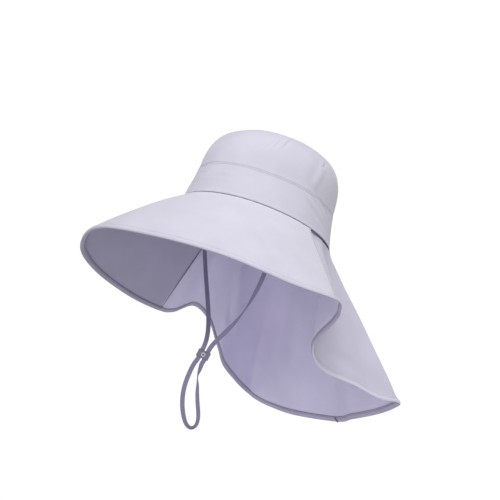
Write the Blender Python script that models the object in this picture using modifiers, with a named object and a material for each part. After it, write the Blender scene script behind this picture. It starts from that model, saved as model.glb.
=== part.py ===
"""A soft sun hat with a wide drooping brim, a long neck flap and a flat chin strap.

Metres, +Z up, front of the hat towards -Y, the wearer's left towards +X.
The origin is the middle of the head opening, where the crown meets the brim.
The hat is worn tipped back, so the crown and brim are laid out in an upright
frame of their own and tipped together. The flap and the strap hang straight down.
"""

from math import cos, exp, pi, radians, sin

import bmesh
import bpy
from mathutils import Matrix, Vector

# Head opening and the way the hat sits
HEAD_LENGTH = 0.200
HEAD_WIDTH = 0.169
TIP_BACK = radians(22.5)
TIP_SIDE = radians(2.0)

# Crown
BAND_HEIGHT = 0.0412
SHOULDER_HEIGHT = 0.047
CROWN_HEIGHT = 0.1144
CROWN_LEAN = 0.008
TIP_PANEL_SHARE = 0.62
FRONT_SQUARENESS = 2.5
BACK_SQUARENESS = 3.5

# Brim, measured from the middle of the head opening in the tipped frame
BRIM_REACH = 0.204
BRIM_DROP = 0.100
BRIM_BOW = 0.004
LEFT_SEAM_AT_CROWN = radians(101)
LEFT_SEAM_AT_EDGE = radians(93.2)
RIGHT_SEAM_AT_CROWN = radians(87)
RIGHT_SEAM_AT_EDGE = radians(94)

# Neck flap, measured straight out, back and down from the head opening
FLAP_HALF_WIDTH = 0.153
FLAP_REACH = 0.129
FLAP_DROP = 0.245
FLAP_BOW = 0.0005
FLAP_LEFT_RISE = 0.0027

# Cloth
CROWN_CLOTH = 0.0012
BRIM_CLOTH = 0.0018
FLAP_CLOTH = 0.0012
HEM_WIDTH = 0.0065
HEM_EXTRA = 0.0008
SEAM_GAP = 0.0004
HEM_GAP = 0.0006
SIDE_SEAM_GAP = 0.0008

# Chin strap
STRAP_WIDTH = 0.0055
STRAP_THICKNESS = 0.0012
STRAP_SEWN_AT = radians(76)
STRAP_SEWN_LENGTH = 0.016
STRAP_CURVE_STEPS = 3

# Slider on the strap
SLIDER_HEIGHT = 0.0095
SLOT_LEAD = 0.0020
SLIDER_WALL = 0.0010
SLIDER_MIDDLE_WALL = 0.0012
SLIDER_CLEARANCE = 0.0003
SLIDER_ROUNDING = 0.0006
RING_RADIUS = 0.0026
RING_HOLE_RADIUS = 0.0013
RING_RISE = 0.0008
RING_HOLE_DEPTH = 0.0012
SLIDER_CENTRE = Vector((0.000, -0.077, -0.154))
SLIDER_TURN = radians(52)
SLIDER_LEAN = radians(27)

# Faces in each piece
ROUND_COLUMNS = 48
BAND_ROW_COUNT = 2
LOWER_WALL_ROW_COUNT = 1
UPPER_WALL_ROW_COUNT = 6
TIP_ROW_COUNT = 3
BRIM_COLUMNS = 44
BRIM_ROW_COUNT = 4
FLAP_COLUMNS = 60
FLAP_ROW_COUNT = 7
EDGE_STEPS = 16
RING_SIDES = 20
WELD = 0.00001

# One row for each section of the brim's edge, front middle to side seam.
# around: share of the way to the side seam; reach: share of BRIM_REACH; drop: share of BRIM_DROP
BRIM_SECTIONS = [
    {"name": "front_middle", "around": 0.00, "reach": 1.001, "drop": 0.922},
    {"name": "front_side", "around": 0.28, "reach": 0.952, "drop": 0.967},
    {"name": "temple", "around": 0.54, "reach": 0.906, "drop": 0.991},
    {"name": "ear", "around": 0.80, "reach": 0.867, "drop": 1.018},
    {"name": "side_seam", "around": 1.00, "reach": 0.896, "drop": 0.986},
]

# One row for each turn of the flap's hem, side seam to back middle. The cloth hangs in a sharper
# tail on the wearer's left than on the right.
# out: share of FLAP_HALF_WIDTH; back: share of FLAP_REACH; down: share of FLAP_DROP
LEFT_FLAP_FOLDS = [
    {"name": "corner_crest", "out": 0.956, "back": 0.105, "down": 0.432},
    {"name": "corner_side", "out": 0.839, "back": 0.155, "down": 0.481},
    {"name": "valley", "out": 0.646, "back": 0.091, "down": 0.593},
    {"name": "valley_foot", "out": 0.661, "back": 0.161, "down": 0.702},
    {"name": "side_panel", "out": 0.813, "back": 0.429, "down": 0.785},
    {"name": "side_tail", "out": 0.902, "back": 0.613, "down": 0.846},
    {"name": "tail_corner", "out": 0.999, "back": 0.755, "down": 0.867},
    {"name": "tail_turn", "out": 0.905, "back": 0.790, "down": 0.895},
    {"name": "back_side", "out": 0.718, "back": 0.789, "down": 0.930},
    {"name": "back_panel", "out": 0.389, "back": 0.820, "down": 0.967},
    {"name": "back_middle", "out": 0.000, "back": 1.020, "down": 1.000},
]

RIGHT_FLAP_FOLDS = [
    {"name": "corner_low", "out": 1.108, "back": -0.102, "down": 0.414},
    {"name": "corner_crest", "out": 0.975, "back": 0.059, "down": 0.382},
    {"name": "corner_side", "out": 0.823, "back": 0.128, "down": 0.464},
    {"name": "valley", "out": 0.645, "back": 0.079, "down": 0.590},
    {"name": "valley_foot", "out": 0.658, "back": 0.151, "down": 0.697},
    {"name": "side_panel", "out": 0.811, "back": 0.431, "down": 0.790},
    {"name": "side_tail", "out": 0.887, "back": 0.597, "down": 0.840},
    {"name": "tail_corner", "out": 0.931, "back": 0.717, "down": 0.872},
    {"name": "tail_turn", "out": 0.887, "back": 0.784, "down": 0.904},
    {"name": "back_side", "out": 0.726, "back": 0.818, "down": 0.938},
    {"name": "back_panel", "out": 0.395, "back": 0.841, "down": 0.974},
    {"name": "back_middle", "out": 0.000, "back": 1.020, "down": 1.000},
]

# Soft dents pressed into the crown.
# around: degrees from the front middle towards the wearer's left
# height: share of CROWN_HEIGHT; spread: share of HEAD_WIDTH; depth: share of HEAD_WIDTH
CROWN_DENTS = [
    {"name": "back_left_shoulder", "around": 138, "height": 0.84, "spread": 0.10, "depth": 0.006},
    {"name": "left_wall", "around": 84, "height": 0.55, "spread": 0.12, "depth": 0.006},
]

# How each strand of the strap leaves its sewn end and comes to the slider, in metres.
# drop, forward: where it heads as it leaves; rise: how far it comes straight at the slider
# tilt: the way that it comes at the slider, in degrees from straight up, as the slider faces
STRANDS = {
    "right": {
        "side": -1, "drop": 0.090, "forward": 0.000, "rise": 0.030, "tilt": 27,
        "sewn_face": 90, "middle_face": 60,
    },
    "left": {
        "side": 1, "drop": 0.126, "forward": 0.030, "rise": 0.025, "tilt": 25,
        "sewn_face": 90, "middle_face": 40,
    },
}

# The loop below the slider, seen from the side that the slider faces, chosen by hand, in metres.
# across and down are from the slider's centre; near is towards the viewer
# face: the turn of the tape about its own run in degrees, 0 flat in the plane of the loop
LOOP = [
    {"across": -0.0105, "down": 0.0100, "near": 0.0000, "face": 0},
    {"across": -0.0153, "down": 0.0189, "near": 0.0005, "face": 0},
    {"across": -0.0206, "down": 0.0320, "near": 0.0010, "face": 5},
    {"across": -0.0236, "down": 0.0438, "near": 0.0015, "face": 10},
    {"across": -0.0247, "down": 0.0556, "near": 0.0020, "face": 15},
    {"across": -0.0242, "down": 0.0663, "near": 0.0020, "face": 22},
    {"across": -0.0220, "down": 0.0775, "near": 0.0015, "face": 34},
    {"across": -0.0183, "down": 0.0845, "near": 0.0010, "face": 46},
    {"across": -0.0134, "down": 0.0866, "near": 0.0000, "face": 52},
    {"across": -0.0087, "down": 0.0835, "near": -0.0010, "face": 46},
    {"across": -0.0064, "down": 0.0765, "near": -0.0020, "face": 34},
    {"across": -0.0062, "down": 0.0680, "near": -0.0025, "face": 26},
    {"across": -0.0069, "down": 0.0592, "near": -0.0030, "face": 26},
    {"across": -0.0074, "down": 0.0473, "near": -0.0030, "face": 34},
    {"across": -0.0070, "down": 0.0367, "near": -0.0025, "face": 55},
    {"across": -0.0068, "down": 0.0260, "near": -0.0015, "face": 90},
    {"across": -0.0042, "down": 0.0178, "near": -0.0005, "face": 135},
    {"across": -0.0018, "down": 0.0107, "near": 0.0000, "face": 165},
]

CLOTH_COLOUR = (0.70, 0.69, 0.78)
STRAP_COLOUR = (0.36, 0.33, 0.47)
SLIDER_COLOUR = (0.30, 0.29, 0.36)


def clear_scene():
    for thing in list(bpy.data.objects):
        bpy.data.objects.remove(thing)


def collection_named(name):
    made = bpy.data.collections.new(name)
    bpy.context.scene.collection.children.link(made)
    return made


def material_named(name, colour, roughness, metallic=0.0):
    made = bpy.data.materials.new(name)
    made.use_nodes = True
    shader = made.node_tree.nodes["Principled BSDF"]
    shader.inputs["Base Color"].default_value = (*colour, 1.0)
    shader.inputs["Roughness"].default_value = roughness
    shader.inputs["Metallic"].default_value = metallic
    return made


def hat_matrix():
    """Turns a point of the upright hat into the tipped hat."""
    return Matrix.Rotation(-TIP_BACK, 4, "X") @ Matrix.Rotation(-TIP_SIDE, 4, "Y")


def slider_matrix():
    """The slider's place: its slots run along its own Z and its ring faces its own -Y."""
    turned = Matrix.Rotation(SLIDER_TURN, 4, "Z") @ Matrix.Rotation(SLIDER_LEAN, 4, "Y")
    return Matrix.Translation(SLIDER_CENTRE) @ turned


def smoothly_through(points, steps):
    """A smooth line from the second point to the last but one; the two end points only steer it."""
    line = []
    for before, start, end, after in zip(points, points[1:], points[2:], points[3:]):
        for step in range(steps):
            t = step / steps
            line.append(
                0.5
                * (
                    2 * start
                    + (end - before) * t
                    + (2 * before - 5 * start + 4 * end - after) * t**2
                    + (3 * start - before - 3 * end + after) * t**3
                )
            )
    line.append(points[-2].copy())
    return line


def lengths_along(line):
    total = [0.0]
    for start, end in zip(line, line[1:]):
        total.append(total[-1] + (end - start).length)
    return total


def at_share(line, lengths, share):
    """The point that share of the way along the line."""
    wanted = share * lengths[-1]
    for i in range(1, len(line)):
        if lengths[i] >= wanted:
            part = (wanted - lengths[i - 1]) / (lengths[i] - lengths[i - 1])
            return line[i - 1].lerp(line[i], part)
    return line[-1].copy()


def opening_point(angle, inset=0.0, height=0.0):
    """A point on an oval inside the head opening; angle 0 is the front middle."""
    out = HEAD_WIDTH / 2 - inset
    along = HEAD_LENGTH / 2 - inset
    return Vector((out * sin(angle), -along * cos(angle), height))


def dent_depth(angle, height):
    """How far the crown is pressed in at that place."""
    depth = 0.0
    for dent in CROWN_DENTS:
        turn = (angle - radians(dent["around"]) + pi) % (2 * pi) - pi
        across = turn * HEAD_WIDTH / 2
        up = height - dent["height"] * CROWN_HEIGHT
        spread = dent["spread"] * HEAD_WIDTH
        depth += dent["depth"] * HEAD_WIDTH * exp(-(across**2 + up**2) / spread**2)
    return depth


def crown_wall_point(angle, height):
    """The straight leaning part of the crown, below the shoulder."""
    lean = CROWN_LEAN * height / SHOULDER_HEIGHT
    return opening_point(angle, lean + dent_depth(angle, height), height)


def crown_dome_point(angle, turn):
    """The rounded part; turn is 0 at the shoulder and a quarter turn at the top."""
    front = (1 + cos(angle)) / 2
    squareness = BACK_SQUARENESS + (FRONT_SQUARENESS - BACK_SQUARENESS) * front
    out = max(cos(turn), 0.0) ** (2 / squareness)
    height = SHOULDER_HEIGHT + (CROWN_HEIGHT - SHOULDER_HEIGHT) * sin(turn) ** (2 / squareness)
    dent = dent_depth(angle, height)
    rim = opening_point(angle, CROWN_LEAN + dent)
    return Vector((rim.x * out, rim.y * out, height - dent * (1 - out) * out))


def tip_seam_turn(angle):
    """Where on the dome the oval top panel is sewn in."""
    low, high = 0.0, pi / 2
    rim = opening_point(angle, CROWN_LEAN).xy.length
    for _ in range(40):
        middle = (low + high) / 2
        if crown_dome_point(angle, middle).xy.length > TIP_PANEL_SHARE * rim:
            low = middle
        else:
            high = middle
    return low


def seam_gap_as_turn():
    return SEAM_GAP / 2 / (HEAD_WIDTH / 2 * TIP_PANEL_SHARE)


def band_rule(u, w):
    low, high = SEAM_GAP / 2, BAND_HEIGHT - SEAM_GAP / 2
    return crown_wall_point(2 * pi * u, low + (high - low) * w)


def wall_rule(u, w):
    """The leaning wall in the lower rows, then the rounded shoulder up to the top panel's seam."""
    angle = 2 * pi * u
    low = BAND_HEIGHT + SEAM_GAP / 2
    below = LOWER_WALL_ROW_COUNT / (LOWER_WALL_ROW_COUNT + UPPER_WALL_ROW_COUNT)
    if w <= below:
        return crown_wall_point(angle, low + (SHOULDER_HEIGHT - low) * w / below)
    end = tip_seam_turn(angle) - seam_gap_as_turn()
    return crown_dome_point(angle, end * (w - below) / (1 - below))


def tip_rule(u, w):
    angle = 2 * pi * u
    start = tip_seam_turn(angle) + seam_gap_as_turn()
    return crown_dome_point(angle, start + (pi / 2 - start) * w)


def brim_edge_points(side):
    """The brim's edge from the front middle to the side seam; side is 1 on the wearer's left."""
    tipped = hat_matrix()
    seam = LEFT_SEAM_AT_EDGE if side > 0 else RIGHT_SEAM_AT_EDGE
    points = []
    for row in BRIM_SECTIONS:
        angle = row["around"] * seam * side
        reach = row["reach"] * BRIM_REACH
        flat = Vector((reach * sin(angle), -reach * cos(angle), -row["drop"] * BRIM_DROP))
        points.append(tipped @ flat)
    return points


def flap_hem_points(side):
    """The flap's hem from just past the side seam to the back middle."""
    points = []
    for row in LEFT_FLAP_FOLDS if side > 0 else RIGHT_FLAP_FOLDS:
        out = side * row["out"] * FLAP_HALF_WIDTH
        rise = side * row["out"] * FLAP_LEFT_RISE
        points.append(Vector((out, row["back"] * FLAP_REACH, rise - row["down"] * FLAP_DROP)))
    return points


def skirt_edges(side):
    """The brim's edge and the flap's hem on one side, each from its middle to the side seam."""
    brim, flap = brim_edge_points(side), flap_hem_points(side)
    steering = [brim_edge_points(-side)[1], *brim, *flap, flap_hem_points(-side)[-2]]
    whole = smoothly_through(steering, EDGE_STEPS)
    seam = (len(brim) - 1) * EDGE_STEPS
    return whole[: seam + 1], whole[seam:][::-1]


def skirt_rule(which, first_side, middle_angle, bow, low, high):
    """The rule of a panel that runs up from its edge to the head opening.

    which picks the brim's edge (0) or the flap's hem (1). The panel starts at the
    side seam of first_side. low and high are distances up from the edge; high of
    None goes all the way to the head opening."""
    lines = {side: skirt_edges(side)[which] for side in (1, -1)}
    measured = {side: lengths_along(line) for side, line in lines.items()}
    turn_to_seam = {1: LEFT_SEAM_AT_CROWN - middle_angle, -1: RIGHT_SEAM_AT_CROWN - middle_angle}
    tipped = hat_matrix()

    def rule(u, w):
        side = first_side if u < 0.5 else -first_side
        away = abs(2 * u - 1)
        line, lengths = lines[side], measured[side]
        edge = at_share(line, lengths, away * (1 - SIDE_SEAM_GAP / 2 / lengths[-1]))
        turn = turn_to_seam[side]
        top_trim = SIDE_SEAM_GAP / 2 / (abs(turn) * HEAD_WIDTH / 2)
        angle = middle_angle + turn * away * (1 - top_trim)
        top = tipped @ opening_point(side * angle, 0.0, -SEAM_GAP / 2)
        rib = top - edge
        end = rib.length if high is None else high
        share = (low + (end - low) * w) / rib.length
        along = rib.normalized()
        outward = (Vector((0, 0, 1)) - along * along.z).normalized()
        return edge + rib * share + outward * bow * sin(pi * share) * (1 - away**4)

    return rule


def sheet(name, rule, columns, rows, thickness, material, collection, parent=None):
    """A cloth panel: a grid shaped by its rule, given its thickness on the inner side."""
    mesh = bpy.data.meshes.new(name)
    grid = bmesh.new()
    bmesh.ops.create_grid(grid, x_segments=columns, y_segments=rows, size=0.5)
    for vertex in grid.verts:
        vertex.co = rule(vertex.co.x + 0.5, vertex.co.y + 0.5)
    bmesh.ops.remove_doubles(grid, verts=grid.verts, dist=WELD)
    grid.to_mesh(mesh)
    grid.free()
    panel = bpy.data.objects.new(name, mesh)
    collection.objects.link(panel)
    panel.parent = parent
    mesh.materials.append(material)
    mesh.shade_smooth()
    wall = panel.modifiers.new("cloth", "SOLIDIFY")
    wall.thickness = thickness
    wall.offset = -1.0
    return panel


def slot_offset():
    return (SLIDER_MIDDLE_WALL + STRAP_WIDTH) / 2 + SLIDER_CLEARANCE


def across_tape(face, along):
    """The direction of the tape's width: face, made square to the way the tape runs."""
    return (face - along * face.dot(along)).normalized()


def level(angle):
    return Vector((cos(angle), sin(angle), 0.0))


def strand_points(row):
    """(point, width direction) pairs from the sewn end down to the top of the slider's slot."""
    side = row["side"]
    tipped, slider = hat_matrix(), slider_matrix()
    inset = CROWN_CLOTH + SLIDER_CLEARANCE + STRAP_THICKNESS
    lean = CROWN_LEAN / SHOULDER_HEIGHT
    top_height = STRAP_SEWN_LENGTH
    sewn = []
    for height in (top_height, top_height / 2, 0.0):
        sewn.append(tipped @ opening_point(side * STRAP_SEWN_AT, inset + lean * height, height))
    start = sewn[-1]
    end = slider @ Vector((side * slot_offset(), 0, SLIDER_HEIGHT / 2 + SLOT_LEAD))
    tilt = radians(row["tilt"])
    leave = start + Vector((0, -row["forward"], -row["drop"]))
    arrive = end + (level(SLIDER_TURN) * sin(tilt) + Vector((0, 0, cos(tilt)))) * row["rise"]
    faces = (radians(row["sewn_face"]), radians(row["middle_face"]), SLIDER_TURN)
    pairs = [(point, level(faces[0])) for point in sewn]
    steps = STRAP_CURVE_STEPS * 6
    for step in range(1, steps + 1):
        t = step / steps
        point = (
            start * (1 - t) ** 3
            + leave * 3 * t * (1 - t) ** 2
            + arrive * 3 * t**2 * (1 - t)
            + end * t**3
        )
        angle = faces[0] * (1 - t) ** 2 + faces[1] * 2 * t * (1 - t) + faces[2] * t**2
        pairs.append((point, level(angle)))
    pairs.append((slider @ Vector((side * slot_offset(), 0, SLIDER_HEIGHT / 2)), level(SLIDER_TURN)))
    return pairs


def loop_points():
    """(point, width direction) pairs of the loop, from the right-hand slot to the left-hand one."""
    slider = slider_matrix()
    right, near = level(SLIDER_TURN), level(SLIDER_TURN - pi / 2)
    bottom = -SLIDER_HEIGHT / 2 - SLOT_LEAD
    start = slider @ Vector((-slot_offset(), 0, bottom))
    end = slider @ Vector((slot_offset(), 0, bottom))
    steering = [slider @ Vector((-slot_offset(), 0, -bottom)), start]
    for row in LOOP:
        steering.append(
            SLIDER_CENTRE
            + right * row["across"]
            + near * row["near"]
            - Vector((0, 0, row["down"]))
        )
    steering += [end, slider @ Vector((slot_offset(), 0, -bottom))]
    line = smoothly_through(steering, STRAP_CURVE_STEPS)
    faces = [0, *(row["face"] for row in LOOP), 180]
    pairs = []
    for i, point in enumerate(line):
        before, after = line[max(i - 1, 0)], line[min(i + 1, len(line) - 1)]
        along = (after - before).normalized()
        place = i / STRAP_CURVE_STEPS
        row = min(int(place), len(faces) - 2)
        turn = radians(faces[row] + (faces[row + 1] - faces[row]) * (place - row))
        # A face of 0 lies flat in the loop's own plane, and one of 90 stands square to it.
        flat = along.cross(near).normalized()
        pairs.append((point, flat * cos(turn) + flat.cross(along) * sin(turn)))
    return pairs


def strap_route():
    right, left = strand_points(STRANDS["right"]), strand_points(STRANDS["left"])
    return [*right, *loop_points(), *left[::-1]]


def tape(name, route, material, collection):
    """A flat ribbon along the route, given its thickness on both sides of it."""
    mesh = bpy.data.meshes.new(name)
    ribbon = bmesh.new()
    bmesh.ops.create_grid(ribbon, x_segments=1, y_segments=len(route) - 1, size=0.5)
    last = len(route) - 1
    centres = [point for point, _ in route]
    widths = []
    for i, (_, face) in enumerate(route):
        along = (centres[min(i + 1, last)] - centres[max(i - 1, 0)]).normalized()
        width = across_tape(face, along)
        if widths and width.dot(widths[-1]) < 0:
            width = -width
        widths.append(width)
    for vertex in ribbon.verts:
        i = round((vertex.co.y + 0.5) * last)
        vertex.co = centres[i] + widths[i] * vertex.co.x * STRAP_WIDTH
    ribbon.to_mesh(mesh)
    ribbon.free()
    strap = bpy.data.objects.new(name, mesh)
    collection.objects.link(strap)
    mesh.materials.append(material)
    mesh.shade_smooth()
    wall = strap.modifiers.new("tape", "SOLIDIFY")
    wall.thickness = STRAP_THICKNESS
    wall.offset = 0.0
    return strap


def box(name, size, place, collection):
    mesh = bpy.data.meshes.new(name)
    shape = bmesh.new()
    bmesh.ops.create_cube(shape, size=1.0)
    bmesh.ops.scale(shape, vec=size, verts=shape.verts)
    bmesh.ops.translate(shape, vec=place, verts=shape.verts)
    shape.to_mesh(mesh)
    shape.free()
    made = bpy.data.objects.new(name, mesh)
    collection.objects.link(made)
    return made


def disc(name, radius, back, front, collection):
    """A round plug along the slider's own Y, from back to front."""
    mesh = bpy.data.meshes.new(name)
    shape = bmesh.new()
    bmesh.ops.create_cone(
        shape,
        cap_ends=True,
        segments=RING_SIDES,
        radius1=radius,
        radius2=radius,
        depth=front - back,
    )
    bmesh.ops.rotate(shape, verts=shape.verts, matrix=Matrix.Rotation(pi / 2, 3, "X"))
    bmesh.ops.translate(shape, vec=(0, -(front + back) / 2, 0), verts=shape.verts)
    shape.to_mesh(mesh)
    shape.free()
    made = bpy.data.objects.new(name, mesh)
    collection.objects.link(made)
    return made


def combine(target, cutter, operation, place):
    cutter.matrix_world = place
    cutter.hide_render = True
    cutter.display_type = "WIRE"
    step = target.modifiers.new(cutter.name, "BOOLEAN")
    step.operation = operation
    step.object = cutter


def make_slider(material, collection, cutters):
    slot_width = STRAP_WIDTH + 2 * SLIDER_CLEARANCE
    slot_depth = STRAP_THICKNESS + 2 * SLIDER_CLEARANCE
    depth = slot_depth + 2 * SLIDER_WALL
    width = 2 * (slot_width + SLIDER_WALL) + SLIDER_MIDDLE_WALL
    slider = box("strap_slider", (width, depth, SLIDER_HEIGHT), (0, 0, 0), collection)
    slider.data.materials.append(material)
    place = slider_matrix()
    slider.matrix_world = place
    rounding = slider.modifiers.new("rounding", "BEVEL")
    rounding.width = SLIDER_ROUNDING
    rounding.segments = 2
    front = depth / 2
    ring = disc("ring", RING_RADIUS, front - RING_RISE, front + RING_RISE, cutters)
    combine(slider, ring, "UNION", place)
    hole_back = front + RING_RISE - RING_HOLE_DEPTH
    hole = disc("ring_hole", RING_HOLE_RADIUS, hole_back, front + 2 * RING_RISE, cutters)
    combine(slider, hole, "DIFFERENCE", place)
    for side, name in ((-1, "slot_right"), (1, "slot_left")):
        size = (slot_width, slot_depth, 2 * SLIDER_HEIGHT)
        slot = box(name, size, (side * slot_offset(), 0, 0), cutters)
        combine(slider, slot, "DIFFERENCE", place)
    return slider


def main():
    clear_scene()
    hat = collection_named("flap_sun_hat")
    cutters = collection_named("slider_cutters")
    seat = bpy.data.objects.new("head_seat", None)
    seat.rotation_euler = hat_matrix().to_euler()
    hat.objects.link(seat)

    def cloth(name):
        return material_named(name + "_cloth", CLOTH_COLOUR, 0.85)

    for name, rule, rows in (
        ("crown_band", band_rule, BAND_ROW_COUNT),
        ("crown_wall", wall_rule, LOWER_WALL_ROW_COUNT + UPPER_WALL_ROW_COUNT),
        ("crown_tip", tip_rule, TIP_ROW_COUNT),
    ):
        sheet(name, rule, ROUND_COLUMNS, rows, CROWN_CLOTH, cloth(name), hat, seat)

    for panel, hem, which, first_side, middle, bow, thickness, columns, rows in (
        ("brim", "brim_hem", 0, -1, 0.0, BRIM_BOW, BRIM_CLOTH, BRIM_COLUMNS, BRIM_ROW_COUNT),
        ("neck_flap", "flap_hem", 1, 1, pi, FLAP_BOW, FLAP_CLOTH, FLAP_COLUMNS, FLAP_ROW_COUNT),
    ):
        panel_low = HEM_WIDTH + HEM_GAP
        rule = skirt_rule(which, first_side, middle, bow, panel_low, None)
        sheet(panel, rule, columns, rows, thickness, cloth(panel), hat)
        rule = skirt_rule(which, first_side, middle, bow, 0.0, HEM_WIDTH)
        sheet(hem, rule, columns, 1, thickness + HEM_EXTRA, cloth(hem), hat)

    tape("chin_strap", strap_route(), material_named("tape", STRAP_COLOUR, 0.8), hat)
    make_slider(material_named("slider_plastic", SLIDER_COLOUR, 0.35), hat, cutters)


main()
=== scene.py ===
"""Dresses the flap sun hat: camera, strap, sewn cloth panels, hems, stitches, light and floor."""

from math import cos, pi, radians, sin

import bmesh
import bpy
import numpy as np
from mathutils import Matrix, Vector


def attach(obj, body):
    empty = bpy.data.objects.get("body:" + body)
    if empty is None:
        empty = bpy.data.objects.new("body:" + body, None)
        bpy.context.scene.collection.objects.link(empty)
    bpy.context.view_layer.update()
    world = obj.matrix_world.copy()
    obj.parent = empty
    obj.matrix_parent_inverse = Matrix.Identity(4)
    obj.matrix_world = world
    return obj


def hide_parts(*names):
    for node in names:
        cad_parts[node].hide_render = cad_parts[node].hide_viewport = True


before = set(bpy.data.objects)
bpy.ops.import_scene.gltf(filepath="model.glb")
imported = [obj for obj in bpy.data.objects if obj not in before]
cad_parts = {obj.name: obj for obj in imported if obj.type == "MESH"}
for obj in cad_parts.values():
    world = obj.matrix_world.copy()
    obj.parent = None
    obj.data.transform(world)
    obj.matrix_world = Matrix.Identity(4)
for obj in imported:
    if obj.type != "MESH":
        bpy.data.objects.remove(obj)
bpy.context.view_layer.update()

# Camera, from the photograph's outline
PHOTO_AZIMUTH = 54.0
PHOTO_ELEVATION = -2.5
CAMERA_DISTANCE = 1.5
CAMERA_RIGHT = -0.0069
CAMERA_UP = -0.0277
CAMERA_LENS = 87.8

# Sizes shared with the solids
HEAD_LENGTH = 0.200
HEAD_WIDTH = 0.169
TIP_BACK = radians(22.5)
TIP_SIDE = radians(2.0)
BAND_HEIGHT = 0.0412
SHOULDER_HEIGHT = 0.047
CROWN_HEIGHT = 0.1144
CROWN_LEAN = 0.008
TIP_PANEL_SHARE = 0.62
FRONT_SQUARENESS = 2.5
BACK_SQUARENESS = 3.5
BRIM_REACH = 0.204
BRIM_DROP = 0.100
BRIM_BOW = 0.004
LEFT_SEAM_AT_CROWN = radians(101)
LEFT_SEAM_AT_EDGE = radians(93.2)
RIGHT_SEAM_AT_CROWN = radians(87)
RIGHT_SEAM_AT_EDGE = radians(94)
FLAP_HALF_WIDTH = 0.153
FLAP_REACH = 0.129
FLAP_DROP = 0.245
FLAP_BOW = 0.0005
FLAP_LEFT_RISE = 0.0027
CROWN_CLOTH = 0.0012
BRIM_CLOTH = 0.0018
FLAP_CLOTH = 0.0012
HEM_WIDTH = 0.0065
HEM_EXTRA = 0.0008
STRAP_WIDTH = 0.0055
STRAP_THICKNESS = 0.0012
STRAP_SEWN_AT = radians(76)
STRAP_SEWN_LENGTH = 0.016
STRAP_CURVE_STEPS = 6
STRAND_STEPS = STRAP_CURVE_STEPS * 6
SLIDER_HEIGHT = 0.0095
SLOT_LEAD = 0.0020
SLIDER_WALL = 0.0010
SLIDER_MIDDLE_WALL = 0.0012
SLIDER_CLEARANCE = 0.0003
RING_RADIUS = 0.0026
RING_HOLE_RADIUS = 0.0013
RING_RISE = 0.0008
RING_SEAT = RING_RISE * 0.8
RING_SWELL = 0.0002
RING_FLATNESS = 0.7
SLIDER_CENTRE = Vector((0.000, -0.077, -0.154))
SLIDER_TURN = radians(52)
SLIDER_LEAN = radians(27)

BRIM_SECTIONS = [
    {"name": "front_middle", "around": 0.00, "reach": 1.001, "drop": 0.922},
    {"name": "front_side", "around": 0.28, "reach": 0.952, "drop": 0.967},
    {"name": "temple", "around": 0.54, "reach": 0.906, "drop": 0.991},
    {"name": "ear", "around": 0.80, "reach": 0.867, "drop": 1.018},
    {"name": "side_seam", "around": 1.00, "reach": 0.896, "drop": 0.986},
]

LEFT_FLAP_FOLDS = [
    {"name": "corner_crest", "out": 0.956, "back": 0.105, "down": 0.432},
    {"name": "corner_side", "out": 0.839, "back": 0.155, "down": 0.481},
    {"name": "valley", "out": 0.646, "back": 0.091, "down": 0.593},
    {"name": "valley_foot", "out": 0.661, "back": 0.161, "down": 0.702},
    {"name": "side_panel", "out": 0.813, "back": 0.429, "down": 0.785},
    {"name": "side_tail", "out": 0.902, "back": 0.613, "down": 0.846},
    {"name": "tail_corner", "out": 0.999, "back": 0.755, "down": 0.867},
    {"name": "tail_turn", "out": 0.905, "back": 0.790, "down": 0.895},
    {"name": "back_side", "out": 0.718, "back": 0.789, "down": 0.930},
    {"name": "back_panel", "out": 0.389, "back": 0.820, "down": 0.967},
    {"name": "back_middle", "out": 0.000, "back": 1.020, "down": 1.000},
]

RIGHT_FLAP_FOLDS = [
    {"name": "corner_low", "out": 1.108, "back": -0.102, "down": 0.414},
    {"name": "corner_crest", "out": 0.975, "back": 0.059, "down": 0.382},
    {"name": "corner_side", "out": 0.823, "back": 0.128, "down": 0.464},
    {"name": "valley", "out": 0.645, "back": 0.079, "down": 0.590},
    {"name": "valley_foot", "out": 0.658, "back": 0.151, "down": 0.697},
    {"name": "side_panel", "out": 0.811, "back": 0.431, "down": 0.790},
    {"name": "side_tail", "out": 0.887, "back": 0.597, "down": 0.840},
    {"name": "tail_corner", "out": 0.931, "back": 0.717, "down": 0.872},
    {"name": "tail_turn", "out": 0.887, "back": 0.784, "down": 0.904},
    {"name": "back_side", "out": 0.726, "back": 0.818, "down": 0.938},
    {"name": "back_panel", "out": 0.395, "back": 0.841, "down": 0.974},
    {"name": "back_middle", "out": 0.000, "back": 1.020, "down": 1.000},
]

STRANDS = {
    "right": {
        "side": -1, "drop": 0.090, "forward": 0.000, "rise": 0.030, "tilt": 27,
        "sewn_face": 90, "middle_face": 60,
    },
    "left": {
        "side": 1, "drop": 0.126, "forward": 0.030, "rise": 0.025, "tilt": 25,
        "sewn_face": 90, "middle_face": 40,
    },
}

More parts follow.
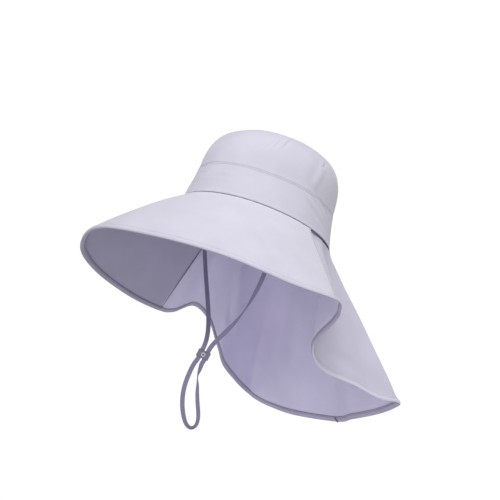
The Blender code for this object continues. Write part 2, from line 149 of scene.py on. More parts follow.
LOOP = [
    {"across": -0.0105, "down": 0.0100, "near": 0.0000, "face": 0},
    {"across": -0.0153, "down": 0.0189, "near": 0.0005, "face": 0},
    {"across": -0.0206, "down": 0.0320, "near": 0.0010, "face": 5},
    {"across": -0.0236, "down": 0.0438, "near": 0.0015, "face": 10},
    {"across": -0.0247, "down": 0.0556, "near": 0.0020, "face": 15},
    {"across": -0.0242, "down": 0.0663, "near": 0.0020, "face": 22},
    {"across": -0.0220, "down": 0.0775, "near": 0.0015, "face": 34},
    {"across": -0.0183, "down": 0.0845, "near": 0.0010, "face": 46},
    {"across": -0.0134, "down": 0.0866, "near": 0.0000, "face": 52},
    {"across": -0.0087, "down": 0.0835, "near": -0.0010, "face": 46},
    {"across": -0.0064, "down": 0.0765, "near": -0.0020, "face": 34},
    {"across": -0.0062, "down": 0.0680, "near": -0.0025, "face": 26},
    {"across": -0.0069, "down": 0.0592, "near": -0.0030, "face": 26},
    {"across": -0.0074, "down": 0.0473, "near": -0.0030, "face": 34},
    {"across": -0.0070, "down": 0.0367, "near": -0.0025, "face": 55},
    {"across": -0.0068, "down": 0.0260, "near": -0.0015, "face": 90},
    {"across": -0.0042, "down": 0.0178, "near": -0.0005, "face": 135},
    {"across": -0.0018, "down": 0.0107, "near": 0.0000, "face": 165},
]

# Looks
OUTER_COLOUR = (0.58, 0.56, 0.66)
# The brim's copy of the outer cloth is painted lighter, for the light on its upturned face.
BRIM_PAINTED_LIGHTER_COLOUR = (0.64, 0.62, 0.725)
# The flap's copy of the outer cloth is painted darker, for the shade on the hanging flap.
FLAP_PAINTED_DARKER_COLOUR = (0.555, 0.535, 0.65)
# Inner face: a more violet tone, and painted lighter than the outer cloth to stand in for light shining
# through the thin cloth.
INNER_COLOUR = (0.69, 0.65, 0.865)
BRIM_UNDER_COLOUR = (0.44, 0.42, 0.565)
HEM_INNER_COLOUR = (0.47, 0.43, 0.59)
HEM_UNDER_COLOUR = (0.44, 0.41, 0.53)
STRAP_COLOUR = (0.285, 0.255, 0.40)
THREAD_COLOUR = (0.30, 0.28, 0.37)
# Dark thread for the inner stitches, also used for cords that paint the shadow in seams and along the hems'
# fold edges.
INNER_THREAD_AND_SHADOW_COLOUR = (0.14, 0.12, 0.20)
SLIDER_COLOUR = (0.20, 0.18, 0.26)
RING_COLOUR = (0.62, 0.60, 0.68)
FLOOR_COLOUR = (0.80, 0.80, 0.81)
FLOOR_HEIGHT = -0.76
FLOOR_SIZE = 2.2
OUTER_SHEEN = 0.2
INNER_SHEEN = 0.15
# The room's tones, by height: 0 is straight down, 0.5 level and 1 straight up
SKY = [
    {"height": 0.26, "tone": 0.52},
    {"height": 0.37, "tone": 1.02},
    {"height": 0.64, "tone": 1.02},
    {"height": 0.76, "tone": 0.22},
]
SHADE_AZIMUTH = radians(54)
SHADE_LEVEL = 0.85
SHADE_STARTS = 0.36
LIGHTS = [
    {"name": "key", "place": (1.1, -1.15, 1.05), "size": 0.9, "power": 6.5},
    {"name": "top", "place": (0.4, -0.1, 1.0), "size": 0.7, "power": 7},
    {"name": "fill", "place": (1.6, -0.95, -0.25), "size": 1.2, "power": 2},
]
LIGHTS_AIM = Vector((0, 0, -0.05))

# Seams and stitches
SEAM_STEPS = np.array([0.0, 0.0002, 0.0004, 0.0006, 0.0009, 0.0012, 0.0016, 0.0021, 0.0027, 0.0034])
STITCH_PITCH = 0.0030
STITCH_LENGTH = 0.0023
STITCH_RADIUS = 0.00028
EDGE_PITCH = 0.0016
# The dark cord along the brim's side seams is painted shadow: its thickness and lift.
EDGE_RADIUS = 0.0006
SEAM_SHADOW_LIFT = 0.0004
BAND_STITCH_LIFT = 0.00012
HEM_JOIN_SLANT = 0.0060
# The dark cord painted as the crown seam's shadow: how deep it sits and how thick it is.
DITCH_DEPTH = 0.0004
DITCH_SHADOW_RADIUS = 0.0012
# The dark cord along a hem's inner fold edge: partly dark thread, partly painted shadow.
HEM_EDGE_RADIUS = 0.00035
RIM_EXTRA = 0.0009
STITCH_INSET = 0.0024
STITCH_SINK = 0.00018
STITCH_LIFT = 0.00010
HEM_STITCH_LIFT = 0.00002
HEM_JOIN_LIFT = 0.0002
HEM_JOIN_DEPTH = 0.0009
HEM_JOIN_LENGTH = HEM_WIDTH * 1.05
HEM_JOIN_RADIUS = 0.0008
HEM_GROOVE = HEM_WIDTH - 0.0014
HEM_PUCKER = 0.00016
HEM_PUCKER_PITCH = 0.007
HEM_THREAD_PULL = 0.00006
HEM_SEEDS = {"brim_hem": 41, "flap_hem": 43}

# A hem's outer face from its sewn edge to its rim: how far up from the rim, and how far out
HEM_FACE = [
    {"name": "sewn_edge", "up": HEM_WIDTH, "out": -0.0004},
    {"name": "edge_turn", "up": HEM_WIDTH - 0.0001, "out": 0.0002},
    {"name": "edge_top", "up": HEM_WIDTH - 0.0004, "out": 0.0004},
    {"name": "above_stitches", "up": HEM_GROOVE + 0.0005, "out": 0.00036},
    {"name": "stitches", "up": HEM_GROOVE, "out": -0.0002},
    {"name": "below_stitches", "up": HEM_GROOVE - 0.0005, "out": 0.00032},
    {"name": "middle", "up": HEM_WIDTH / 2, "out": 0.00055},
    {"name": "near_rim", "up": 0.0020, "out": 0.00042},
    {"name": "rim_turn", "up": 0.0009, "out": -0.00005},
]

# Ridges beside a seam: each one's height, its distance from the seam and its width
STITCH_GROOVE = (-0.0004, STITCH_INSET, 0.0006)
BRIM_SIDE_RIDGES = [(0.0006, 0.0010, 0.0010), STITCH_GROOVE]
SEAM_RIDGES = {
    "band_foot": [(0.0006, 0.0020, 0.0015), (-0.0034, 0.0, 0.0004)],
    "band_top": [(-0.00015, 0.0, 0.0005)],
    "wall_foot": [(0.0003, 0.0008, 0.0008), STITCH_GROOVE],
    "tip_seam": [(-0.0011, 0.0, 0.0009), (0.0003, 0.0030, 0.0020)],
    "brim_top": [(0.0006, 0.0024, 0.0018), (-0.0034, 0.0, 0.0004)],
    "brim_hem": [],
    "flap_top": [(0.0005, 0.0040, 0.0018), (-0.0034, 0.0, 0.0016)],
    "flap_hem": [],
}
CROWN_GIRTH = pi * (HEAD_WIDTH + HEAD_LENGTH) / 2
GATHERS = {
    "band_foot": {"seed": 3, "height": 0.00060, "pitch": 0.0130, "fade": 0.009, "length": CROWN_GIRTH},
    "band_top": {"seed": 5, "height": 0.00020, "pitch": 0.0085, "fade": 0.006, "length": CROWN_GIRTH},
    "wall_foot": {"seed": 7, "height": 0.00018, "pitch": 0.0085, "fade": 0.006, "length": CROWN_GIRTH},
    "tip_seam": {"seed": 9, "height": 0.00045, "pitch": 0.0120, "fade": 0.010, "length": CROWN_GIRTH},
    "brim_top": {"seed": 21, "height": 0.00035, "pitch": 0.0100, "fade": 0.008, "length": 0.29},
    "brim_hem": {"seed": 23, "height": 0.00016, "pitch": 0.0085, "fade": 0.006, "length": 0.64},
    "flap_top": {"seed": 31, "height": 0.00050, "pitch": 0.0120, "fade": 0.016, "length": 0.26},
    "flap_hem": {"seed": 33, "height": 0.00018, "pitch": 0.0085, "fade": 0.006, "length": 0.80},
}
UNEVENNESS = {
    "crown": {"seed": 13, "height": 0.0006, "wave": 0.055},
    "brim": {"seed": 25, "height": 0.0009, "wave": 0.10},
    "flap": {"seed": 35, "height": 0.0012, "wave": 0.075},
}
BRIM_CALM = 0.012
FLAP_CALM = 0.014

# Folds of the cloth
SEAM_LAP = 0.0004
SEAM_TUCK = 0.0003
SEAM_VALLEY = 0.0170
SEAM_VALLEY_START = 0.004
SEAM_VALLEY_FADE = 0.012
SEAM_VALLEY_FOOT = 0.15
SEAM_VALLEY_RISE = 0.7
SEAM_VALLEY_CLEAR = 0.006
TUCK_WIDTH = 0.0025
TOP_WRINKLE = 0.00208
TOP_WRINKLE_PITCH = 0.0042
TOP_WRINKLE_FADE = 0.010
HEM_ROLL = 0.0090
HEM_ROLL_START = 0.0015
HEM_ROLL_AT = 0.012
HEM_ROLL_FADE = 0.026
HEM_ROLL_LEAST = 0.10
HEM_ROLL_REACH = 1.1
ROLLED_HEM_SPREAD = 0.5
FLAP_GRAIN = np.array([1.0, 1.0, 0.35])
STRAND_TWIST = {1: radians(74), -1: 0.0}
STRAND_TWIST_AT = 0.46
STRAND_TWIST_SPREAD = 0.11

# Each stroke fades over this share of its length at both ends, and has a low bank on one side
STROKE_END = 0.22
STROKE_BANK = 0.4
STROKE_BANK_AT = 1.7

# Strokes over the crown: degrees from the front middle, then how far up the cloth
CROWN_STROKES = [
    {"from": (72, 0.114), "to": (63, 0.080), "width": 0.0023, "depth": -0.0014},
    {"from": (63, 0.103), "to": (55, 0.072), "width": 0.0020, "depth": -0.0012},
    {"from": (57, 0.093), "to": (51, 0.072), "width": 0.0018, "depth": -0.0008},
    {"from": (112, 0.100), "to": (103, 0.082), "width": 0.0018, "depth": -0.0013},
    {"from": (106, 0.090), "to": (96, 0.050), "width": 0.0050, "depth": 0.0010},
    {"from": (-24, 0.031), "to": (14, 0.029), "width": 0.0016, "depth": -0.0006},
    {"from": (0, 0.025), "to": (34, 0.024), "width": 0.0020, "depth": -0.0005},
    {"from": (96, 0.050), "to": (128, 0.030), "width": 0.0024, "depth": -0.0010},
    {"from": (88, 0.038), "to": (118, 0.020), "width": 0.0030, "depth": 0.0007},
]

# Strokes over the flap: share of the way from the left seam to the right one, then up from the hem
FLAP_STROKES = [
    {"from": (0.92, 0.085), "to": (0.85, 0.022), "width": 0.016, "depth": -0.0020},
    {"from": (0.88, 0.105), "to": (0.81, 0.035), "width": 0.016, "depth": 0.0022},
    {"from": (0.17, 0.030), "to": (0.28, 0.026), "width": 0.009, "depth": -0.0016},
    {"from": (0.62, 0.170), "to": (0.64, 0.050), "width": 0.020, "depth": 0.0020},
]

# Mesh fineness
CROWN_COLUMNS = 360
BAND_ROWS = 26
WALL_ROWS = 64
WALL_REACH = 0.070
LAST_STRAIGHT_ROW = SHOULDER_HEIGHT - 0.0006
TIP_ROWS = 40
TIP_REACH = 0.050
BRIM_COLUMNS = 360
BRIM_ROWS = 64
FLAP_COLUMNS = 480
FLAP_ROWS = 80
EDGE_STEPS = 40
SKIRT_START = HEM_WIDTH - 0.0006
HEM_STRIP = np.linspace(0, 0.12, 4)
SEAM_LINE_STEPS = 720
SIDE_COLUMNS = 12
WELD_DISTANCE = 0.00002
HALVINGS = 40


def photo_camera():
    turn, rise = radians(PHOTO_AZIMUTH), radians(PHOTO_ELEVATION)
    right = Vector((cos(turn), sin(turn), 0))
    back = Vector((sin(turn) * cos(rise), -cos(turn) * cos(rise), sin(rise)))
    up = back.cross(right)
    place = back * CAMERA_DISTANCE + right * CAMERA_RIGHT + up * CAMERA_UP
    lens = bpy.data.cameras.new("photo_camera")
    lens.lens = CAMERA_LENS
    lens.sensor_width = 36.0
    lens.sensor_fit = "HORIZONTAL"
    camera = bpy.data.objects.new("photo_camera", lens)
    facing = Matrix((right, up, back)).transposed().to_4x4()
    camera.matrix_world = Matrix.Translation(place) @ facing
    bpy.context.scene.camera = link(camera)


# Shapes shared with the solids


def hat_matrix():
    return Matrix.Rotation(-TIP_BACK, 4, "X") @ Matrix.Rotation(-TIP_SIDE, 4, "Y")


def slider_matrix():
    turned = Matrix.Rotation(SLIDER_TURN, 4, "Z") @ Matrix.Rotation(SLIDER_LEAN, 4, "Y")
    return Matrix.Translation(SLIDER_CENTRE) @ turned


HAT = hat_matrix()
TIPPED = np.array(HAT.to_3x3())


def unit(vectors):
    return vectors / np.linalg.norm(vectors, axis=-1, keepdims=True)


def line_lengths(line):
    """How far each point lies along the line, in metres."""
    return np.concatenate([[0], np.cumsum(np.linalg.norm(np.diff(line, axis=0), axis=1))])


def between(where, places, points):
    """Points at other places along a line, from its own points and their places."""
    return np.stack([np.interp(where, places, points[:, k]) for k in range(3)], axis=-1)


def smoothly_through(points, steps):
    """A smooth line from the second point to the last but one; the two end points only steer it."""
    line = []
    for before, start, end, after in zip(points, points[1:], points[2:], points[3:]):
        for step in range(steps):
            t = step / steps
            bend = (2 * before - 5 * start + 4 * end - after) * t**2
            twist = (3 * start - before - 3 * end + after) * t**3
            line.append((2 * start + (end - before) * t + bend + twist) * 0.5)
    line.append(points[-2].copy())
    return line


def oval(angle, inset=0.0, height=0.0):
    """Points on an oval inside the head opening, in the hat's own upright frame."""
    angle, inset, height = np.broadcast_arrays(angle, inset, height)
    out = (HEAD_WIDTH / 2 - inset) * np.sin(angle)
    along = -(HEAD_LENGTH / 2 - inset) * np.cos(angle)
    return np.stack([out, along, height], axis=-1)


def wall_points(angle, height):
    return oval(angle, CROWN_LEAN * height / SHOULDER_HEIGHT, height)


def dome_points(angle, turn):
    front = (1 + np.cos(angle)) / 2
    power = 2 / (BACK_SQUARENESS + (FRONT_SQUARENESS - BACK_SQUARENESS) * front)
    out = np.maximum(np.cos(turn), 0.0) ** power
    height = SHOULDER_HEIGHT + (CROWN_HEIGHT - SHOULDER_HEIGHT) * np.sin(turn) ** power
    rim = oval(angle, CROWN_LEAN, 0.0)
    return np.stack([rim[..., 0] * out, rim[..., 1] * out, height], axis=-1)


def tip_seam_turn(angle):
    low, high = np.zeros_like(angle), np.full_like(angle, pi / 2)
    rim = np.linalg.norm(oval(angle, CROWN_LEAN)[..., :2], axis=-1)
    for _ in range(HALVINGS):
        middle = (low + high) / 2
        reach = np.linalg.norm(dome_points(angle, middle)[..., :2], axis=-1)
        outside = reach > TIP_PANEL_SHARE * rim
        low, high = np.where(outside, middle, low), np.where(outside, high, middle)
    return low


def brim_edge_points(side):
    seam = LEFT_SEAM_AT_EDGE if side > 0 else RIGHT_SEAM_AT_EDGE
    points = []
    for row in BRIM_SECTIONS:
        angle = row["around"] * seam * side
        reach = row["reach"] * BRIM_REACH
        flat = Vector((reach * sin(angle), -reach * cos(angle), -row["drop"] * BRIM_DROP))
        points.append(HAT @ flat)
    return points


def flap_hem_points(side):
    points = []
    for row in LEFT_FLAP_FOLDS if side > 0 else RIGHT_FLAP_FOLDS:
        out = side * row["out"] * FLAP_HALF_WIDTH
        rise = side * row["out"] * FLAP_LEFT_RISE
        points.append(Vector((out, row["back"] * FLAP_REACH, rise - row["down"] * FLAP_DROP)))
    return points


def skirt_edges(side):
    """The brim's edge and the flap's hem on one side, each from its middle to the side seam."""
    brim, flap = brim_edge_points(side), flap_hem_points(side)
    steering = [brim_edge_points(-side)[1], *brim, *flap, flap_hem_points(-side)[-2]]
    whole = smoothly_through(steering, EDGE_STEPS)
    seam = (len(brim) - 1) * EDGE_STEPS
    return np.array(whole[: seam + 1]), np.array(whole[seam:][::-1])


def at_shares(line, shares):
    """Points that far along the line, each as a share of its length."""
    lengths = line_lengths(line)
    return between(shares * lengths[-1], lengths, line)


def skirt_ribs(which, first_side, middle_angle, columns):
    """For each column of a skirt panel: its edge point, its top point and how near its seam it is."""
    u = np.linspace(0, 1, columns + 1)
    away = np.abs(2 * u - 1)
    side = np.where(u < 0.5, first_side, -first_side)
    edge = np.empty((columns + 1, 3))
    for s in (1, -1):
        edge[side == s] = at_shares(skirt_edges(s)[which], away[side == s])
    seam = np.where(side > 0, LEFT_SEAM_AT_CROWN, RIGHT_SEAM_AT_CROWN)
    angle = side * (middle_angle + (seam - middle_angle) * away)
    top = oval(angle) @ TIPPED.T
    return edge, top, away


def rib_points(edge, top, away, bow, share):
    """Points at those shares up each rib, as a grid of columns by rows."""
    rib = top - edge
    along = unit(rib)
    outward = unit(np.array([0, 0, 1.0]) - along * along[:, 2:])
    bulge = (bow * (1 - away**4))[:, None] * np.sin(pi * share)
    straight = edge[:, None] + rib[:, None] * share[..., None]
    return straight + outward[:, None] * bulge[..., None]


# Meshes from grids


def grid_normals(grid, closed=False):
    if closed:
        ring = grid[:-1]
        across = np.roll(ring, -1, axis=0) - np.roll(ring, 1, axis=0)
        across = np.concatenate([across, across[:1]])
    else:
        across = np.gradient(grid, axis=0)
    up = np.gradient(grid, axis=1)
    normal = np.cross(across, up)
    return normal / np.maximum(np.linalg.norm(normal, axis=-1, keepdims=True), 1e-12)


def grid_lengths(grid):
    """How far each grid point lies along its row and up its column, in metres."""
    along = np.cumsum(np.linalg.norm(np.diff(grid, axis=0, prepend=grid[:1]), axis=-1), axis=0)
    up = np.cumsum(np.linalg.norm(np.diff(grid, axis=1, prepend=grid[:, :1]), axis=-1), axis=1)
    return along, up


def link(obj):
    bpy.context.scene.collection.objects.link(obj)
    return obj


def grid_object(name, grid, materials, closed_rows=False, closed_columns=False, uv=None):
    """A mesh object from a grid of points, with texture coordinates in metres."""
    columns, rows = grid.shape[:2]
    if uv is None:
        along, up = grid_lengths(grid)
        uv = np.stack([along - along[columns // 2], up], axis=-1)
    last_column = columns if closed_columns else columns - 1
    last_row = rows if closed_rows else rows - 1
    i, j = np.meshgrid(np.arange(last_column), np.arange(last_row), indexing="ij")
    i2, j2 = (i + 1) % columns, (j + 1) % rows
    corners = [(i, j), (i2, j), (i2, j2), (i, j2)]
    faces = np.stack([a * rows + b for a, b in corners], axis=-1).reshape(-1, 4)
    corner_uv = np.stack([uv[a, b] for a, b in corners], axis=2)
    mesh = bpy.data.meshes.new(name)
    mesh.from_pydata(grid.reshape(-1, 3).tolist(), [], faces.tolist())
    layer = mesh.uv_layers.new(name="cloth")
    layer.data.foreach_set("uv", corner_uv.astype(np.float32).ravel())
    for material in materials:
        mesh.materials.append(material)
    mesh.shade_smooth()
    return link(bpy.data.objects.new(name, mesh))


def weld(obj):
    mesh = bmesh.new()
    mesh.from_mesh(obj.data)
    bmesh.ops.remove_doubles(mesh, verts=mesh.verts, dist=WELD_DISTANCE)
    mesh.to_mesh(obj.data)
    mesh.free()
    obj.data.shade_smooth()


def close_ends(obj):
    mesh = bmesh.new()
    mesh.from_mesh(obj.data)
    bmesh.ops.holes_fill(mesh, edges=[edge for edge in mesh.edges if edge.is_boundary], sides=0)
    bmesh.ops.recalc_face_normals(mesh, faces=mesh.faces)
    mesh.to_mesh(obj.data)
    mesh.free()


def thicken(obj, thickness):
    """Gives the sheet its thickness on the inner side, with the second material there."""
    wall = obj.modifiers.new("cloth", "SOLIDIFY")
    wall.thickness = thickness
    wall.offset = -1.0
    wall.material_offset = 1
    wall.material_offset_rim = 1


def dress(obj, *nodes, slot="cloth"):
    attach(obj, "root")
    if nodes:
        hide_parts(*nodes)
    return obj


# Materials


def node_maker(material):
    tree = material.node_tree

    def make(kind, values=(), **settings):
        node = tree.nodes.new(kind)
        for key, value in settings.items():
            setattr(node, key, value)
        for key, value in dict(values).items():
            node.inputs[key].default_value = value
        return node

    def wire(source, output, target, socket):
        tree.links.new(source.outputs[output], target.inputs[socket])

    return make, wire


def cloth_material(name, colour, sheen, roughness=0.85, pitch=0.0006, relief=0.25, patch=0.05):
    """Plain-woven cloth: two crossed waves for the threads, faint slubs and patches of tone."""
    material = bpy.data.materials.new(name)
    material.use_nodes = True
    shader = material.node_tree.nodes["Principled BSDF"]
    shader.inputs["Roughness"].default_value = roughness
    shader.inputs["Sheen Weight"].default_value = sheen
    shader.inputs["Sheen Roughness"].default_value = 0.5
    shader.inputs["Specular IOR Level"].default_value = 0.25
    make, wire = node_maker(material)
    uv = make("ShaderNodeUVMap", uv_map="cloth")
    waves = []
    for axis in ("X", "Y"):
        wave = make(
            "ShaderNodeTexWave",
            {"Scale": pi / (10 * pitch), "Distortion": 1.0, "Detail": 1.0, "Detail Scale": 0.3},
            bands_direction=axis,
        )
        wire(uv, "UV", wave, "Vector")
        waves.append(wave)
    weave = make("ShaderNodeMath", operation="MULTIPLY")
    wire(waves[0], "Fac", weave, 0)
    wire(waves[1], "Fac", weave, 1)
    slub_map = make("ShaderNodeMapping", {"Scale": (110, 1500, 1)})
    wire(uv, "UV", slub_map, "Vector")
    slub = make("ShaderNodeTexNoise", {"Scale": 1.0, "Detail": 3.0})
    wire(slub_map, "Vector", slub, "Vector")
    height = make("ShaderNodeMath", operation="MULTIPLY_ADD")
    height.inputs[1].default_value = 0.6
    wire(slub, "Fac", height, 0)
    wire(weave, "Value", height, 2)
    bump = make("ShaderNodeBump", {"Strength": relief, "Distance": 0.0002})
    wire(height, "Value", bump, "Height")
    wire(bump, "Normal", shader, "Normal")
    coordinates = make("ShaderNodeTexCoord")
    tone = make("ShaderNodeTexNoise", {"Scale": 24.0, "Detail": 4.0, "Roughness": 0.55})
    wire(coordinates, "Object", tone, "Vector")
    spread = make(
        "ShaderNodeMapRange",
        {"From Min": 0.3, "From Max": 0.7, "To Min": 1 - patch, "To Max": 1 + patch * 0.5},
    )
    wire(tone, "Fac", spread, "Value")
    fine = make(
        "ShaderNodeMapRange",
        {"From Min": 0.0, "From Max": 1.6, "To Min": 0.95, "To Max": 1.04},
    )
    wire(height, "Value", fine, "Value")
    product = make("ShaderNodeMath", operation="MULTIPLY")
    wire(spread, "Result", product, 0)
    wire(fine, "Result", product, 1)
    tinted = make("ShaderNodeVectorMath", operation="SCALE")
    tinted.inputs[0].default_value = colour
    wire(product, "Value", tinted, "Scale")
    wire(tinted, "Vector", shader, "Base Color")
    return material


def plain_material(name, colour, roughness, grain, scale=400.0):
    material = bpy.data.materials.new(name)
    material.use_nodes = True
    shader = material.node_tree.nodes["Principled BSDF"]
    shader.inputs["Roughness"].default_value = roughness
    make, wire = node_maker(material)
    coordinates = make("ShaderNodeTexCoord")
    noise = make("ShaderNodeTexNoise", {"Scale": scale, "Detail": 3.0})
    wire(coordinates, "Object", noise, "Vector")
    tone = make("ShaderNodeMapRange", {"To Min": 0.92, "To Max": 1.06})
    wire(noise, "Fac", tone, "Value")
    tinted = make("ShaderNodeVectorMath", operation="SCALE")
    tinted.inputs[0].default_value = colour
    wire(tone, "Result", tinted, "Scale")
    wire(tinted, "Vector", shader, "Base Color")
    bump = make("ShaderNodeBump", {"Strength": grain, "Distance": 0.0003})
    wire(noise, "Fac", bump, "Height")
    wire(bump, "Normal", shader, "Normal")
    return material


# The strap and its slider


def slot_offset():
    return (SLIDER_MIDDLE_WALL + STRAP_WIDTH) / 2 + SLIDER_CLEARANCE


def level(angle):
    return Vector((cos(angle), sin(angle), 0.0))


def across_tape(face, along):
    return (face - along * face.dot(along)).normalized()


def strand_points(row):
    side = row["side"]
    slider = slider_matrix()
    inset = CROWN_CLOTH + SLIDER_CLEARANCE + STRAP_THICKNESS
    lean = CROWN_LEAN / SHOULDER_HEIGHT
    sewn = []
    for height in (STRAP_SEWN_LENGTH, STRAP_SEWN_LENGTH / 2, 0.0):
        flat = oval(side * STRAP_SEWN_AT, inset + lean * height, height)
        sewn.append(HAT @ Vector(flat))
    start = sewn[-1]
    end = slider @ Vector((side * slot_offset(), 0, SLIDER_HEIGHT / 2 + SLOT_LEAD))
    tilt = radians(row["tilt"])
    leave = start + Vector((0, -row["forward"], -row["drop"]))
    arrive = end + (level(SLIDER_TURN) * sin(tilt) + Vector((0, 0, cos(tilt)))) * row["rise"]
    faces = (radians(row["sewn_face"]), radians(row["middle_face"]), SLIDER_TURN)
    pairs = [(point, level(faces[0])) for point in sewn]
    for step in range(1, STRAND_STEPS + 1):
        t = step / STRAND_STEPS
        point = (
            start * (1 - t) ** 3
            + leave * 3 * t * (1 - t) ** 2
            + arrive * 3 * t**2 * (1 - t)
            + end * t**3
        )
        angle = faces[0] * (1 - t) ** 2 + faces[1] * 2 * t * (1 - t) + faces[2] * t**2
        angle += STRAND_TWIST[side] * np.exp(-(((t - STRAND_TWIST_AT) / STRAND_TWIST_SPREAD) ** 2))
        pairs.append((point, level(angle)))
    pairs.append((slider @ Vector((side * slot_offset(), 0, SLIDER_HEIGHT / 2)), level(SLIDER_TURN)))
    return pairs


def loop_points():
    slider = slider_matrix()
    right, near_side = level(SLIDER_TURN), level(SLIDER_TURN - pi / 2)
    bottom = -SLIDER_HEIGHT / 2 - SLOT_LEAD
    start = slider @ Vector((-slot_offset(), 0, bottom))
    end = slider @ Vector((slot_offset(), 0, bottom))
    steering = [slider @ Vector((-slot_offset(), 0, -bottom)), start]
    for row in LOOP:
        aside = right * row["across"] + near_side * row["near"]
        steering.append(SLIDER_CENTRE + aside - Vector((0, 0, row["down"])))
    steering += [end, slider @ Vector((slot_offset(), 0, -bottom))]
    line = smoothly_through(steering, STRAP_CURVE_STEPS)
    faces = [0, *(row["face"] for row in LOOP), 180]
    pairs = []
    for i, point in enumerate(line):
        before, after = line[max(i - 1, 0)], line[min(i + 1, len(line) - 1)]
        along = (after - before).normalized()
        place = i / STRAP_CURVE_STEPS
        row = min(int(place), len(faces) - 2)
        turn = radians(faces[row] + (faces[row + 1] - faces[row]) * (place - row))
        flat = along.cross(near_side).normalized()
        pairs.append((point, flat * cos(turn) + flat.cross(along) * sin(turn)))
    return pairs


def make_strap(material):
    right, left = strand_points(STRANDS["right"]), strand_points(STRANDS["left"])
    route = [*right, *loop_points(), *left[::-1]]
    centres = np.array([point for point, _ in route])
    runs = unit(np.gradient(centres, axis=0))
    widths = []
    for (_, face), run in zip(route, runs):
        width = across_tape(face, Vector(run))
        if widths and width.dot(widths[-1]) < 0:
            width = -width
        widths.append(width)
    widths = np.array(widths)
    faces = np.cross(widths, runs)
    # A flat section with soft edges.
    turn = np.linspace(0, 2 * pi, 24, endpoint=False)
    x = STRAP_WIDTH / 2 * np.sign(np.cos(turn)) * np.abs(np.cos(turn)) ** 0.35
    y = STRAP_THICKNESS / 2 * np.sign(np.sin(turn)) * np.abs(np.sin(turn)) ** 0.6
    section = np.stack([x, y], axis=-1)
    grid = centres[:, None] + widths[:, None] * section[:, :1] + faces[:, None] * section[:, 1:]
    far = line_lengths(centres)
    uv = np.stack(np.broadcast_arrays(section[None, :, 0], far[:, None]), axis=-1)
    strap = grid_object("strap_tape", grid[:, ::-1], [material], closed_rows=True, uv=uv[:, ::-1])
    close_ends(strap)
    dress(strap, "chin_strap", slot="strap")
    make_ring()


def make_ring():
    """The light ring round the hole in the slider's face."""
    depth = STRAP_THICKNESS + 2 * SLIDER_CLEARANCE + 2 * SLIDER_WALL
    middle = (RING_RADIUS + RING_HOLE_RADIUS) / 2
    thick = (RING_RADIUS - RING_HOLE_RADIUS) / 2 + RING_SWELL
    columns, rows = 48, 16
    around = np.linspace(0, 2 * pi, columns, endpoint=False)[:, None]
    about = np.linspace(0, 2 * pi, rows, endpoint=False)[None]
    out = middle + thick * np.cos(about)
    front = -(depth / 2 + RING_SEAT) - thick * np.sin(about) * RING_FLATNESS
    grid = np.stack(np.broadcast_arrays(out * np.cos(around), front, out * np.sin(around)), axis=-1)
    place = np.array(slider_matrix())
    grid = grid @ place[:3, :3].T + place[:3, 3]
    material = plain_material("slider_ring_plastic", RING_COLOUR, roughness=0.3, grain=0.05)
    ring = grid_object("slider_ring", grid, [material], closed_rows=True, closed_columns=True)
    return dress(ring, slot="slider")


# The sewn cloth


def bump_at(value, place, width):
    """A soft rise of height one at that place."""
    return np.exp(-(((value - place) / width) ** 2))


def gathers(turns, length, seed, pitch):
    """Small uneven gathers along a seam of that length; turns runs 0 to 1 and meets itself."""
    rng = np.random.default_rng(seed)
    total = np.zeros_like(turns)
    for wave in range(4):
        count = round(length / (pitch * (0.62 + 0.31 * wave)))
        total += np.sin(2 * pi * (count * turns + rng.uniform())) * rng.uniform(0.5, 1.0)
    slow = np.sin(2 * pi * (3 * turns + rng.uniform())) + np.sin(2 * pi * (7 * turns + rng.uniform()))
    return total / 3 * (0.6 + 0.2 * slow)


def ridges(rows, distance):
    """Soft ridges and grooves along a seam that lies that far away."""
    return sum(height * bump_at(distance, place, width) for height, place, width in rows)


def seam_relief(name, distance, turns):
    """The ridges and gathers beside the named seam, over cloth that lies that far from it."""
    row = GATHERS[name]
    gather = row["height"] * gathers(turns, row["length"], row["seed"], row["pitch"])
    return ridges(SEAM_RIDGES[name], distance) + gather * np.exp(-distance / row["fade"])


def unevenness(name, points):
    """Slow shallow unevenness over a cloth panel, from a few crossed waves."""
    row = UNEVENNESS[name]
    rng = np.random.default_rng(row["seed"])
    total = np.zeros(points.shape[:-1])
    for _ in range(9):
        way = unit(rng.normal(size=3))
        wave = row["wave"] * rng.uniform(0.6, 1.6)
        total += np.sin(points @ way * 2 * pi / wave + rng.uniform(0, 2 * pi))
    return row["height"] * total / 4


def strokes(rows, across, up, reach):
    """Soft short folds over a panel, each a stroke; reach is how long one unit across is."""
    shift = np.zeros(np.broadcast_shapes(across.shape, up.shape))
    for fold in rows:
        start = np.array(fold["from"]) * (reach, 1)
        way = np.array(fold["to"]) * (reach, 1) - start
        length = np.hypot(*way)
        way /= length
        dx, dy = across * reach - start[0], up - start[1]
        along = (dx * way[0] + dy * way[1]) / length
        aside = (dx * way[1] - dy * way[0]) / fold["width"]
        past = np.clip(np.abs(along - 0.5) - STROKE_END, 0, None)
        bank = STROKE_BANK * bump_at(aside, STROKE_BANK_AT, 1)
        shift += fold["depth"] * bump_at(past, 0, STROKE_END) * (bump_at(aside, 0, 1) - bank)
    return shift


def crown_folds(angle, up):
    turns = (np.degrees(angle) + 180) % 360 - 180
    return strokes(CROWN_STROKES, turns, up, HEAD_WIDTH / 2 * radians(1))


def hem_roll(up, window):
    """How far the cloth lies in above a hem that rolls outwards."""
    bend = np.clip((up - HEM_ROLL_START) / HEM_ROLL_AT, 0, 1)
    drop = bend * bend * (3 - 2 * bend) * np.exp(-np.maximum(up - HEM_ROLL_AT, 0) / HEM_ROLL_FADE)
    return HEM_ROLL * window * drop


